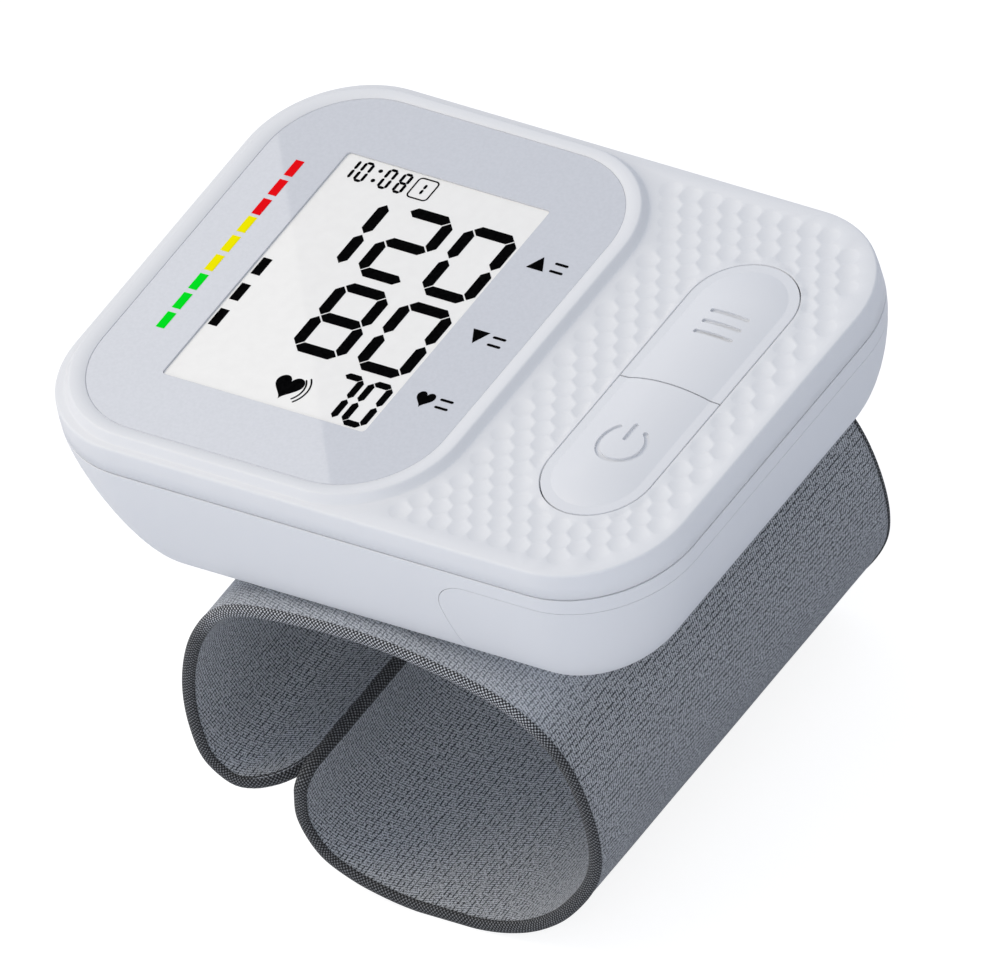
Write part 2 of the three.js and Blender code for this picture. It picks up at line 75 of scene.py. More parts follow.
# Light: a sky that is brighter on the left, and two soft lamps: a warm key and a cool fill from the front
AMBIENT = (0.828, 0.8775, 0.985, 1)
AMBIENT_STRENGTH = 0.79
AMBIENT_SLOPE = 0.26
LAMP_DISTANCE = 700
LAMP_SIZE = 420
LAMP_AIM = Vector((0, 0, 50))
KEY_FROM = Vector((-0.62, -0.25, 0.74))
KEY_POWER = 1.32
KEY_COLOR = (1.0, 0.855, 0.62)
FILL_FROM = Vector((0.36, -0.81, 0.46))
FILL_POWER = 0.73
FILL_COLOR = (0.97, 0.98, 1.0)
FLOOR_HALF = 3000
FLOOR_GLOW = 0.86
FLOOR_BOUNCE = (0.76, 0.775, 0.81, 1)
FLOOR_SHADE = (0.30, 0.30, 0.30, 1)
CARD_DISTANCE = 260
CARD_GLOW = 2.1
CARD_OUTLINE = [(-59.2, 45), (15.35, -45), (-60, -45)]

# Heights of the case
LENS_TOP = 62.95
PLATFORM_TOP = 63
FIELD_TOP = 62
ROOF_UNDER = 60.4
LEDGE_TOP = 61.7
TOP_EDGE = 58.5
BOTTOM_EDGE = 58.3
DOOR_SEAM = 56.2
CASE_BOTTOM = 43

# Plan of the case: half length, half width and corner radius at the rim, the top edge and the floor
RIM = (40.75, 30.25, 13.3)
SIDE_LOW = (40.72, 30.2, 13.2)
SIDE_HIGH = (40.65, 30.12, 13.1)
CREST = (40.35, 29.85, 12.9)
FLOOR = (33.3, 26.7, 9)
SIDE_LOW_Z = 60.4
SIDE_HIGH_Z = 61.55
BELLY_POWER = 1.4
WALL = 1.5
COVER_EDGE = 0.08
BELLY_EDGE = 0.06
CORNER_STEPS = 20
CREST_STEPS = 4
LEAST_CASE_RADIUS = 1
LEAST_PANEL_RADIUS = 0.05
BELLY_STEPS = 36

# Display side, as left, right, half width and corner radius
PLATFORM = (-39.3, 10.3, 28.8, 12.5)
LENS = (-37.2, 8.4, 27.2, 11)
WINDOW = (-27.8, -0.9, 18.5, 0.5)
PLATFORM_FOOT = 0.6
RECESS_EDGE = 0.04
LENS_LEDGE = 2.5
LENS_FOOT = LEDGE_TOP + 0.1
LENS_GAP = 0.015
LENS_EDGE = 0.06
WINDOW_EDGE = 0.02
WINDOW_DEPTH = 0.22
INK = 0.03

# Side of the platform, as inset from its plan and rise over the field
PLATFORM_PROFILE = [
    (-PLATFORM_FOOT, 0), (-0.52, 0.04), (-0.42, 0.13), (-0.28, 0.31), (-0.12, 0.53),
    (0.02, 0.75), (0.13, 0.9), (0.24, 0.98), (0.36, 1),
]

# Bars of each digit, and the gap between bars as a share of their thickness
SEGMENTS = {"0": "abcdef", "1": "bc", "2": "abged", "7": "abc", "8": "abcdefg"}
SEGMENT_GAP = 0.09

# Readings of the screen: text, right edge, width and pitch of digits, lower and upper edge, bar thickness
READINGS = [
    ("120", -1.35, 7.0, 8.47, 2.5, 13.8, 1.42),
    ("80", -1.5, 7.0, 8.47, -10.05, 1.25, 1.42),
    ("70", -1.5, 3.32, 3.85, -18.1, -10.95, 0.88),
    ("08", -18.65, 1.3, 1.98, 14.9, 18.05, 0.36),
    ("10", -23.8, 1.3, 1.75, 14.9, 18.05, 0.36),
]
COLON = [(-22.75, 15.7, 0.26, 16), (-22.75, 17.25, 0.26, 16)]
POINTER_X = (-27.45, -26.28)
POINTER_LEVELS = (-1.5, -5.75, -9.95)
POINTER_LENGTH = 2.65
HEART = (-13.3, -15.1, 3.5)
BEAT_CENTER = (-13.6, -15.2)
BEAT_RADII = (2.35, 2.9)
BEAT_ARC = (-40, 40, 14)
BEAT_STROKE = 0.19
USER_BOX = (-17.9, -15.3, 14.95, 18.0, 0.5)
USER_STROKE = 0.18
USER_DIGIT = ("1", -17.3, -16.4, 15.5, 17.45, 0.32)

# Print of the lens: level bars and labels
LEVEL_X = (-32.6, -31.5)
LEVEL_STARTS = {"green": -12.5, "yellow": -2.95, "red": 6.4}
LEVEL_PITCH = 3.2
LEVEL_LENGTH = 2.5
ARROWS = [(11, 1), (-1.3, -1)]
ARROW_X = (1.5, 3.7, 2.6)
LABEL_HEART = (2.6, -11.6, 2.3)
LABEL_LEVELS = (11, -1.3, -11.7)
LABEL_X = (4.5, 5.2, 5.9)
LABEL_RISES = (-0.6, 0.6)
LABEL_STROKE = 0.34

# Dimples of the field: a honeycomb of shallow bowls, and the room their centres keep to the edges
DIMPLE_FIRST = (11.78, 14.45)
DIMPLE_STEP = (2.625, 2.055)
DIMPLE_REACH = (DIMPLE_STEP[0] ** 2 / 4 + DIMPLE_STEP[1] ** 2) / (2 * DIMPLE_STEP[1])
DIMPLE_ROWS = range(-22, 9)
DIMPLE_COLUMNS = range(-3, 14)
DIMPLE_DEPTH = 0.30
DIMPLE_ROOM = 2.2
DIMPLE_ROOM_SLOT = 0.2
DIMPLE_SLOT_EDGE = 0.15
DIMPLE_SLOT_FADE = 0.5
DIMPLE_EDGE_STEPS = 4
DIMPLE_RINGS = [(0.3, 3), (0.6, 2), (0.85, 1), (1, 1)]

# Buttons
BUTTON_X = 27.1
SLOT_HALF = 6.8
SLOT_END = 20.6
SLOT = (BUTTON_X - SLOT_HALF, BUTTON_X + SLOT_HALF, SLOT_END, SLOT_HALF)
SLOT_FLAT = 0.001
SLOT_EDGE = 0.06
SLOT_DRAFT = 0.05
BUTTON_GAP = 0.18
BUTTON_SPLIT = 0.09
BUTTON_FOOT = 59.8
RIM_WIDTH = 1.2
RIM_RISE = 0.06
CROWN_RISE = 0.85
CROWN_POWER = 2.1
BUTTON_SIDE = [(0, BUTTON_FOOT), (0, FIELD_TOP - 0.12), (0.01, FIELD_TOP - 0.05)]
BUTTON_INSETS = [
    0.04, 0.12, 0.25, 0.6, 1.0, RIM_WIDTH - 0.06, RIM_WIDTH, RIM_WIDTH + 0.06,
    1.5, 1.9, 2.4, 3.0, 3.6, 4.2, 4.8, 5.4, 6.0, 6.4,
]
POWER_MARK = (27.45, -9.7)
POWER_ARC = (2.75, 128, 412, 44)
POWER_BAR = (2.9, 1.8, 0.7)
MEMORY_MARK = (27.45, 10)
MEMORY_REACH = (-2.3, 0, 2.3)
MEMORY_RISES = (-1.7, 0, 1.7)
MARK_DEPTH = 0.3
MARK_TOP = PLATFORM_TOP + 1
MARK_STROKE = 0.58

# Battery door and bay
DOOR_X = 13.5
DOOR_CORNER = 5
DOOR_GAP = 0.06
DOOR_STEPS = 12
CUT_MARGIN = 5
CELL_HALF = 22.5
BAY_LEFT = 9.6
BAY_RIGHT = 25.7
BAY_WALL = 1.0
BAY_END = 23.5
BAY_ROOF = (56.1, 56.9)
BAY_LOW = 48.75
BAY_GAP = 0.02
BAY_INNER = BAY_LEFT + BAY_WALL + BAY_GAP
BAY_WALL_TOP = BAY_ROOF[1] - 0.05

# Screws
SCREWS = [(-18, -23.9), (-18, 23.9), (6.3, -23.9), (6.3, 23.9)]
BOSS_RADIUS = 3.2
RECESS_RADIUS = 2.6
SCREW_HOLE_RADIUS = 1.4
SCREW_SEAT = 48
BOSS_LOW = CASE_BOTTOM + 0.02
BOSS_TOP = 49.9
BOSS_INSET = 0.03
RECESS_CUT = (CASE_BOTTOM - 1, CASE_BOTTOM + 4)

# Cuff: outer face of the strap as X and Z, from the left tip to the right tip
STRAP_KNOTS = [
    (-17.3, 12), (-21, 11.5), (-24.9, 11.7), (-28.2, 14.4), (-29, 19.5), (-27.9, 27), (-24.3, 34.9),
    (-19, 40.1), (-7.4, 42.2), (6, 41.6), (18.5, 37.7), (23.8, 32.1), (25.6, 23.5), (24.2, 14.5),
    (18.4, 6.7), (13.4, 2.9), (9.2, 1.05), (4.8, 0.1), (-3.6, 0), (-8.2, 0.75), (-12, 2.05),
    (-15.5, 4.5), (-17.3, 9.2), (-16.7, 13.4), (-15.7, 16.8),
]
SPLIT_KNOT = 8
BLADDER_KNOTS = (5.5, 11.5)
# Knots where the painted light over the arch starts, is whole, starts to fade and ends
ARCH_LIGHT_KNOTS = (5.9, 6.8, 10, 11.1)
HOOK_KNOTS = (1, 3)
HOOK_EDGE = 18
HOOK_THICK = 0.5
HOOK_SUNK = 0.08
CURVE_STEPS = 40
CLOTH_STEP = 0.6
LANE_STEP = 1.5
CUFF_EDGE = 29
CLOTH_INSET = 0.25
TAPE_WIDTH = 0.65
TAPE_NOSE = 0.5
LEFT_CORNER = 9
RIGHT_CORNER = 3.4
TAPE_PROUD = 0.06
TAPE_LIP = 0.07
TAPE_LIP_SHARE = 0.7
TAPE_SUNK = 0.12
TAPE_NOSE_STEPS = 12
STRAP_THICK = 1.45
CLOTH_THICK = 0.5
PUFF = 0.3
PUFF_EDGE = 25
PUFF_FADE_ALONG = 9
PUFF_FADE_ACROSS = 4
WAVE_HEIGHT = 0.05
WAVE_ALONG = 9
WAVE_ACROSS = 11
WAVE_SHIFT = 50
SINK_DEPTH = 0.1
SINK_START = 1.1
SINK_FADE = 0.5


# Basic meshes

def add_object(name, data):
    thing = bpy.data.objects.new(name, data)
    bpy.context.scene.collection.objects.link(thing)
    return thing


def mesh_object(name, points, faces):
    mesh = bpy.data.meshes.new(name)
    mesh.from_pydata([Vector(p) * MM for p in points], [], faces)
    return add_object(name, mesh)


def rework(mesh, weld, outwards):
    """Makes close points one, and turns the faces of a closed mesh outwards."""
    shape = bmesh.new()
    shape.from_mesh(mesh)
    if weld:
        bmesh.ops.remove_doubles(shape, verts=shape.verts, dist=WELD)
    if outwards:
        bmesh.ops.recalc_face_normals(shape, faces=shape.faces)
    shape.to_mesh(mesh)
    shape.free()


def new_piece(name, points, faces, material, sharp=SHARP, closed=True):
    piece = mesh_object(name, points, faces)
    rework(piece.data, True, closed)
    finish_surface(piece, material, sharp)
    return piece


def finish_surface(piece, material, sharp):
    piece.data.materials.clear()
    piece.data.materials.append(material)
    piece.data.shade_smooth()
    piece.data.set_sharp_from_angle(angle=math.radians(sharp))


def arc(x, y, radius, start, end, steps):
    turns = [math.radians(start + (end - start) * i / steps) for i in range(steps + 1)]
    return [(x + radius * math.cos(t), y + radius * math.sin(t)) for t in turns]


def circle(x, y, radius, count=40):
    return arc(x, y, radius, 0, 360, count)[:-1]


def rectangle(x0, x1, y0, y1):
    return [(x0, y0), (x1, y0), (x1, y1), (x0, y1)]


def rounded_ring(x0, x1, y0, y1, radius):
    """Counterclockwise points of a rectangle with round corners."""
    a, b, c, d = rectangle(x0 + radius, x1 - radius, y0 + radius, y1 - radius)
    ring = []
    for quarter, (x, y) in enumerate((c, d, a, b)):
        ring += arc(x, y, radius, 90 * quarter, 90 * quarter + 90, CORNER_STEPS)
    return ring


def panel_ring(plan, z, inset=0, least=LEAST_PANEL_RADIUS):
    x0, x1, y, radius = plan
    ring = rounded_ring(x0 + inset, x1 - inset, inset - y, y - inset, max(radius - inset, least))
    return [(px, py, z) for px, py in ring]


def case_ring(plan, z, inset=0):
    x, y, radius = plan
    return panel_ring((-x, x, y, radius), z, inset, LEAST_CASE_RADIUS)


def mix(a, b, share):
    return tuple(p + (q - p) * share for p, q in zip(a, b))


def smooth_step(value):
    t = min(max(value, 0), 1)
    return t * t * (3 - 2 * t)


def depth_inside(plan, x, y):
    """Distance from a point inside a rounded rectangle to its edge, negative outside."""
    x0, x1, half, radius = plan
    across = abs(x - (x0 + x1) / 2) - ((x1 - x0) / 2 - radius)
    along = abs(y) - (half - radius)
    return radius - math.hypot(max(across, 0), max(along, 0)) - min(max(across, along), 0)


def loft(rings, capped=False):
    """Points and faces through rings of equal count, which run round the material's section."""
    count = len(rings[0])
    points = [p for ring in rings for p in ring]
    faces = []
    for k in range(len(rings) - 1):
        for i in range(count):
            a = k * count + i
            b = k * count + (i + 1) % count
            faces.append((a, b, b + count, a + count))
    if capped:
        last = (len(rings) - 1) * count
        faces += [tuple(reversed(range(count))), tuple(range(last, last + count))]
    return points, faces


def joined(*parts):
    """Several sets of points and faces as one."""
    points, faces = [], []
    for part_points, part_faces in parts:
        start = len(points)
        points.extend(part_points)
        faces.extend(tuple(start + i for i in face) for face in part_faces)
    return points, faces


def prism(outline, z0, z1):
    return loft([[(x, y, z0) for x, y in outline], [(x, y, z1) for x, y in outline]], True)


def block(x0, x1, y0, y1, z0, z1):
    return prism(rectangle(x0, x1, y0, y1), z0, z1)


def solid_piece(name, rings, material):
    return new_piece(name, *loft(rings, True), material)


def boolean(piece, tool, operation):
    """Cuts a piece with a tool, which is used up."""
    material = piece.data.materials[0]
    modifier = piece.modifiers.new("boolean", "BOOLEAN")
    modifier.operation = operation
    modifier.solver = "EXACT"
    modifier.object = tool
    cut = piece.evaluated_get(bpy.context.evaluated_depsgraph_get())
    mesh = bpy.data.meshes.new_from_object(cut)
    piece.modifiers.clear()
    piece.data = mesh
    bpy.data.objects.remove(tool)
    finish_surface(piece, material, CUT_SHARP)


# Materials

def new_material(name, **values):
    material = bpy.data.materials.new(name)
    material.use_nodes = True
    for socket, value in values.items():
        shader_input(material, socket.replace("_", " ")).default_value = value
    return material


def shader_input(material, socket):
    return material.node_tree.nodes["Principled BSDF"].inputs[socket]


def feed(material, socket, output):
    """Connects a node's output to the material's shader."""
    material.node_tree.links.new(output, shader_input(material, socket))


def add(material, kind, inputs=(), **settings):
    """A node with its settings; an input is a value, or another node's output."""
    tree = material.node_tree
    node = tree.nodes.new(kind)
    for setting, value in settings.items():
        setattr(node, setting, value)
    for socket, value in dict(inputs).items():
        if isinstance(value, bpy.types.NodeSocket):
            tree.links.new(value, node.inputs[socket])
        else:
            node.inputs[socket].default_value = value
    return node


def math_node(material, operation, first, second=0.0):
    return add(material, "ShaderNodeMath", {0: first, 1: second}, operation=operation).outputs[0]


def scaled_sum(material, value, scale, other):
    node = add(material, "ShaderNodeMath", {0: value, 1: scale, 2: other}, operation="MULTIPLY_ADD")
    return node.outputs[0]


def remap(material, value, low, high, first=0.0, last=1.0, **settings):
    inputs = {"Value": value, "From Min": low, "From Max": high, "To Min": first, "To Max": last}
    return add(material, "ShaderNodeMapRange", inputs, **settings).outputs["Result"]


def ramp(material, factor, stops):
    node = add(material, "ShaderNodeValToRGB", {"Fac": factor})
    elements = node.color_ramp.elements
    while len(elements) < len(stops):
        elements.new(0.5)
    for element, (place, color) in zip(elements, stops):
        element.position = place
        element.color = (*color, 1)
    return node.outputs["Color"]


def noise_at(material, place, scale, detail):
    node = add(material, "ShaderNodeTexNoise", {"Vector": place, "Scale": scale, "Detail": detail})
    return node.outputs["Fac"]


def grain(material, scale, detail=4.0):
    place = add(material, "ShaderNodeTexCoord").outputs["Object"]
    return noise_at(material, place, scale, detail)


def connect_bump(material, height, strength, distance):
    bump = add(material, "ShaderNodeBump", {"Height": height, "Strength": strength, "Distance": distance})
    feed(material, "Normal", bump.outputs["Normal"])


def moulded(name, color, roughness, spread=0.03, grain_scale=5200, bump=0.05, **values):
    """Moulded plastic, rubber or metal: a faint mottle, a fine skin grain and an uneven polish."""
    mottle_scale, polish_spread, skin_depth = 90, 0.1, 0.00008
    material = new_material(name, **values)
    mottle = grain(material, mottle_scale, 3)
    low = tuple(c * (1 - spread) for c in color)
    high = tuple(min(c * (1 + spread), 1) for c in color)
    feed(material, "Base Color", ramp(material, mottle, [(0.3, low), (0.7, high)]))
    polish = scaled_sum(material, mottle, polish_spread, roughness - polish_spread / 2)
    feed(material, "Roughness", polish)
    connect_bump(material, grain(material, grain_scale, 2), bump, skin_depth)
    return material


def board_material():
    """Green solder mask with a net of paler tracks."""
    material = new_material("board_mask", Roughness=0.35)
    place = add(material, "ShaderNodeTexCoord").outputs["Object"]
    cells = add(material, "ShaderNodeTexVoronoi", {"Vector": place, "Scale": 420},
                feature="DISTANCE_TO_EDGE", distance="MANHATTAN")
    track, mask = (0.06, 0.30, 0.15), (0.012, 0.10, 0.05)
    feed(material, "Base Color", ramp(material, cells.outputs["Distance"], [(0.06, track), (0.12, mask)]))
    connect_bump(material, cells.outputs["Distance"], 0.2, 0.00005)
    return material


def cell_material():
    """Printed sleeve of a battery with bare metal ends, along Y."""
    material = new_material("cell_sleeve", Roughness=0.34)
    place = add(material, "ShaderNodeTexCoord").outputs["Object"]
    along = add(material, "ShaderNodeSeparateXYZ", {"Vector": place}).outputs["Y"]
    share = remap(material, along, -CELL_HALF * MM, CELL_HALF * MM)
    sleeve, band, metal = (0.035, 0.05, 0.075), (0.52, 0.36, 0.16), (0.62, 0.62, 0.63)
    white, black = (1, 1, 1), (0, 0, 0)
    looks = {"Base Color": [(0.0, metal), (0.03, sleeve), (0.70, band), (0.965, metal)],
             "Metallic": [(0.0, white), (0.03, black), (0.965, white)]}
    for socket, stops in looks.items():
        bands = ramp(material, share, stops)
        bands.node.color_ramp.interpolation = "CONSTANT"
        feed(material, socket, bands)
    connect_bump(material, grain(material, 900), 0.05, 0.0001)
    return material


def cloth_place(material):
    """Distance along the strap and across it, in millimetres, and the share of painted light over the
    arch.
    """
    place = add(material, "ShaderNodeAttribute", attribute_name="cloth").outputs["Vector"]
    parts = add(material, "ShaderNodeSeparateXYZ", {"Vector": place})
    return [parts.outputs[axis] for axis in "XYZ"]


def lifted(material, color, lift, share):
    """A colour with a share of another one added."""
    extra = add(material, "ShaderNodeVectorMath", {0: lift, 3: share}, operation="SCALE").outputs[0]
    return add(material, "ShaderNodeVectorMath", {0: color, 1: extra}, operation="ADD").outputs[0]


def stretched_noise(material, along, across, along_scale, across_scale, detail):
    vector = add(material, "ShaderNodeCombineXYZ", {
        "X": math_node(material, "MULTIPLY", along, along_scale),
        "Y": math_node(material, "MULTIPLY", across, across_scale),
    })
    return noise_at(material, vector.outputs[0], 1.0, detail)


def knit_material(name, dark, light):
    """Knit of mixed grey yarn: fine ribs across the strap, small stitches along them and a fibre grain,
    with painted light added over the arch.
    """
    rib, stitch, rib_wander = 0.58, 0.34, 0.34
    loop_share, groove_share = 0.085, -0.32
    # Painted light: this colour is added to the knit over the arch, as if more light fell there
    arch_light_color = (0.155, 0.165, 0.184)
    material = new_material(name, Roughness=0.95, Sheen_Weight=0.1, Sheen_Roughness=0.5)
    along, across, arch_light = cloth_place(material)
    wander = stretched_noise(material, along, across, 0.9, 0.6, 2)
    turns = math_node(material, "DIVIDE", scaled_sum(material, wander, rib_wander, along), rib)
    from_groove = math_node(material, "PINGPONG", turns, 0.5)
    groove = remap(material, from_groove, 0.0, 0.24, 1.0, 0.0, interpolation_type="SMOOTHSTEP")
    broken = remap(material, stretched_noise(material, along, across, 1.7, 1.5, 1), 0.36, 0.60)
    shift = math_node(material, "MULTIPLY", turns, math.pi)
    loops = math_node(material, "SINE", scaled_sum(material, across, 2 * math.pi / stitch, shift))
    fibre = stretched_noise(material, along, across, 7.0, 4.4, 2)
    height = scaled_sum(material, loops, loop_share, fibre)
    height = scaled_sum(material, math_node(material, "MULTIPLY", groove, broken), groove_share, height)
    color = ramp(material, height, [(0.30, dark), (0.44, mix(dark, light, 0.40)), (0.58, light)])
    feed(material, "Base Color", lifted(material, color, arch_light_color, arch_light))
    connect_bump(material, height, 0.6, 0.00014)
    return material


def crossed_waves(material, kind, *runs):
    """Product of two waves, each along a place at a pitch."""
    turns = [math_node(material, "MULTIPLY", place, 2 * math.pi / pitch) for place, pitch in runs]
    return math_node(material, "MULTIPLY", *(math_node(material, kind, turn) for turn in turns))


def tape_material():
    """Woven edge tape: a fine check of black and pale yarn, made lighter with painted light over the arch.
    """
    pitch, check_share, arch_light_gain = 0.48, 0.45, 2.1
    black, grey, pale = (0.006, 0.0063, 0.007), (0.028, 0.029, 0.031), (0.20, 0.205, 0.213)
    material = new_material("woven_tape", Roughness=0.85, Sheen_Weight=0.05)
    along, across, arch_light = cloth_place(material)
    check = crossed_waves(material, "COSINE", (along, pitch), (across, pitch))
    fibre = stretched_noise(material, along, across, 5, 5, 3)
    height = scaled_sum(material, check, check_share, fibre)
    color = ramp(material, height, [(0.40, black), (0.56, grey), (0.78, pale)])
    # Painted light: the tape is made lighter over the arch, as if more light fell there
    share = math_node(material, "MULTIPLY", arch_light, arch_light_gain)
    feed(material, "Base Color", lifted(material, color, color, share))
    connect_bump(material, height, 0.5, 0.0001)
    return material


def hook_material():
    """Hook fastener: rows of small stiff hooks on a dark backing."""
    row_pitch, stem_pitch = 1.1, 0.9
    material = new_material("hook_tape", Roughness=0.6)
    along, across, _ = cloth_place(material)
    hooks = crossed_waves(material, "SINE", (along, row_pitch), (across, stem_pitch))
    backing, plastic = (0.02, 0.021, 0.023), (0.11, 0.115, 0.12)
    feed(material, "Base Color", ramp(material, hooks, [(0.2, backing), (0.8, plastic)]))
    connect_bump(material, hooks, 0.9, 0.0004)
    return material


def speckled(name, scale, detail, low, high, high_at=0.7, **values):
    """A flat finish between two close colours: the screen, the grey print of the lens, and inks."""
    material = new_material(name, **values)
    specks = grain(material, scale, detail)
    feed(material, "Base Color", ramp(material, specks, [(0.3, low), (high_at, high)]))
    return material


def ink_material(name, color):
    pale = mix(color, (1, 1, 1), 0.003)
    return speckled(name, 3000, 2, color, pale, 0.75, Roughness=0.6, Specular_IOR_Level=0.0)


WHITE = moulded("white_plastic", (0.785, 0.79, 0.80), 0.40, spread=0.008)
BUTTON_WHITE = moulded("button_plastic", (0.76, 0.768, 0.785), 0.30, spread=0.008)
BLACK = moulded("black_plastic", (0.022, 0.023, 0.026), 0.5, spread=0.2)
RUBBER = moulded("rubber", (0.045, 0.047, 0.05), 0.75, spread=0.2, grain_scale=2500, bump=0.2)
STEEL = moulded("steel", (0.55, 0.56, 0.58), 0.32, spread=0.1, grain_scale=3000, Metallic=1.0)
BRASS = moulded("plated_brass", (0.62, 0.50, 0.26), 0.30, spread=0.1, grain_scale=3000, Metallic=1.0)
SILICONE = moulded("silicone", (0.62, 0.64, 0.66), 0.5, spread=0.05, Subsurface_Weight=0.2)
STAY = moulded("natural_plastic", (0.63, 0.63, 0.60), 0.5, spread=0.04)
BOARD = board_material()
CELL = cell_material()
KNIT = knit_material("grey_knit", (0.031, 0.033, 0.0357), (0.475, 0.490, 0.509))
LINING = knit_material("grey_lining", (0.034, 0.037, 0.0413), (0.597, 0.622, 0.658))
TAPE = tape_material()
HOOK = hook_material()
SCREEN = speckled("screen", 700, 3, (0.893, 0.878, 0.840), (0.917, 0.903, 0.864),
                  Roughness=0.4, Coat_Weight=0.45, Coat_Roughness=0.02)
LENS_PRINT = speckled("lens_print", 2600, 2, (0.590, 0.604, 0.638), (0.624, 0.637, 0.672),
                      Roughness=0.35, Coat_Weight=1.0, Coat_Roughness=0.02)
INK_COLORS = {
    "black": (0.0012, 0.0012, 0.0014), "red": (0.86, 0.004, 0.008),
    "yellow": (0.95, 0.86, 0.0), "green": (0.0, 0.78, 0.016),
}
INKS = {name: ink_material(f"ink_{name}", color) for name, color in INK_COLORS.items()}


# Case

def dimple_center(row, column):
    x = DIMPLE_FIRST[0] + DIMPLE_STEP[0] * (column + row % 2 / 2)
    return x, DIMPLE_FIRST[1] + DIMPLE_STEP[1] * row


def slot_room(x, y):
    """Distance from the button slot, negative inside it."""
    return -depth_inside(SLOT, x, y)


def dimple_fits(row, column):
    x, y = dimple_center(row, column)
    room = min(depth_inside((-CREST[0], *CREST), x, y), -depth_inside(PLATFORM, x, y))
    return room > DIMPLE_ROOM and slot_room(x, y) > DIMPLE_ROOM_SLOT


def field_lattice():
    """Rows and columns of the dimples."""
    places = [(row, column) for row in DIMPLE_ROWS for column in DIMPLE_COLUMNS]
    return [place for place in places if dimple_fits(*place)]


def dimple_outline(row, column, lattice):
    """Edge of a dimple round its centre: straight where it meets another dimple, round elsewhere."""
    half, low = DIMPLE_STEP[0] / 2, DIMPLE_STEP[1] - DIMPLE_REACH
    corners = [(half, -low), (half, low), (0, DIMPLE_REACH),
               (-half, low), (-half, -low), (0, -DIMPLE_REACH)]
    right = column + row % 2
    around = [(row, column + 1), (row + 1, right), (row + 1, right - 1),
              (row, column - 1), (row - 1, right - 1), (row - 1, right)]
    outline = []
    for side, other in enumerate(around):
        for step in range(DIMPLE_EDGE_STEPS):
            x, y = mix(corners[side], corners[(side + 1) % 6], step / DIMPLE_EDGE_STEPS)
            stretch = 1 if other in lattice else DIMPLE_REACH / math.hypot(x, y)
            outline.append((x * stretch, y * stretch))
    return outline


def dimple_points(row, column, lattice):
    """Points of a dimple with their heights; it runs out at the slot."""
    x, y = dimple_center(row, column)
    outline = dimple_outline(row, column, lattice)
    spread = [(0, 0)]
    for share, stride in DIMPLE_RINGS:
        spread += [(px * share, py * share) for px, py in outline[::stride]]
    points = []
    for px, py in spread:
        room = slot_room(x + px, y + py) - DIMPLE_SLOT_EDGE
        if room > 0:
            depth = DIMPLE_DEPTH * (1 - (px * px + py * py) / DIMPLE_REACH ** 2)
            points.append((x + px, y + py, FIELD_TOP - depth * smooth_step(room / DIMPLE_SLOT_FADE)))
    return points


def field_patch(crest_ring, foot_ring, slot_ring):
    """The dimpled top between the case's edge, the platform's foot and the button slot."""
    flat, edges, heights = [], [], {}
    for ring in (crest_ring, foot_ring, slot_ring):
        start = len(flat)
        flat.extend((x, y) for x, y, _ in ring)
        edges.extend((start + i, start + (i + 1) % len(ring)) for i in range(len(ring)))
    lattice = field_lattice()
    for row, column in lattice:
        for x, y, z in dimple_points(row, column, lattice):
            heights[len(flat)] = z
            flat.append((x, y))
    points, _, triangles, sources, _, _ = delaunay_2d_cdt([Vector(p) for p in flat], edges, [], 1, 1e-6)
    solid = [(point.x, point.y, heights.get(source[0], FIELD_TOP) if source else FIELD_TOP)
             for point, source in zip(points, sources)]
    kept = []
    for triangle in triangles:
        middle = sum((points[i] for i in triangle), Vector((0, 0))) / 3
        if depth_inside(PLATFORM, *middle) < -PLATFORM_FOOT and slot_room(*middle) > 0:
            kept.append(tuple(triangle))
    return solid, kept


def make_top_cover():
    rows = [(RIM, ROOF_UNDER, WALL), (RIM, TOP_EDGE, WALL), (RIM, TOP_EDGE, COVER_EDGE),
            (RIM, TOP_EDGE + COVER_EDGE), (SIDE_LOW, SIDE_LOW_Z), (SIDE_HIGH, SIDE_HIGH_Z)]
    side = [case_ring(*row) for row in rows]
    for step in range(1, CREST_STEPS):
        turn = step / CREST_STEPS * math.pi / 2
        plan = mix(SIDE_HIGH, CREST, 1 - math.cos(turn))
        side.append(case_ring(plan, SIDE_HIGH_Z + (FIELD_TOP - SIDE_HIGH_Z) * math.sin(turn)))
    crest_ring = case_ring(CREST, FIELD_TOP)
    side.append(crest_ring)
    platform = [panel_ring(PLATFORM, FIELD_TOP + rise, inset) for inset, rise in PLATFORM_PROFILE]
    rows = [(PLATFORM_TOP, -RECESS_EDGE), (PLATFORM_TOP - RECESS_EDGE, 0), (LEDGE_TOP, 0),
            (LEDGE_TOP, LENS_LEDGE), (ROOF_UNDER, LENS_LEDGE)]
    platform += [panel_ring(LENS, *row) for row in rows]
    plan = (*SLOT[:3], SLOT_HALF - SLOT_FLAT)
    rows = [(FIELD_TOP, 0), (FIELD_TOP - SLOT_EDGE, SLOT_DRAFT),
            (ROOF_UNDER, SLOT_DRAFT), (ROOF_UNDER, -WALL)]
    slot = [panel_ring(plan, *row) for row in rows]
    patch = field_patch(crest_ring, platform[0], slot[0])
    shape = joined(loft(side), loft(platform), loft(slot), patch)
    piece = new_piece("top_shell", *shape, WHITE, sharp=COVER_SHARP, closed=False)
    dress(piece, "case", "white_plastic", "top_cover")


def dress(piece, body, slot, *nodes):
    """Rides a body and stands for nodes, which it hides; the slot is not used."""
    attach(piece, body)
    if nodes:
        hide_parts(*nodes)
    return piece


def belly_rings(inset):
    rings = []
    for step in range(BELLY_STEPS + 1):
        turn = (1 - step / BELLY_STEPS) * math.pi / 2
        plan = mix(FLOOR, RIM, math.cos(turn) ** (2 / BELLY_POWER))
        drop = math.sin(turn) ** (2 / BELLY_POWER)
        rings.append(case_ring(plan, BOTTOM_EDGE - (BOTTOM_EDGE - CASE_BOTTOM - inset) * drop, inset))
    return rings


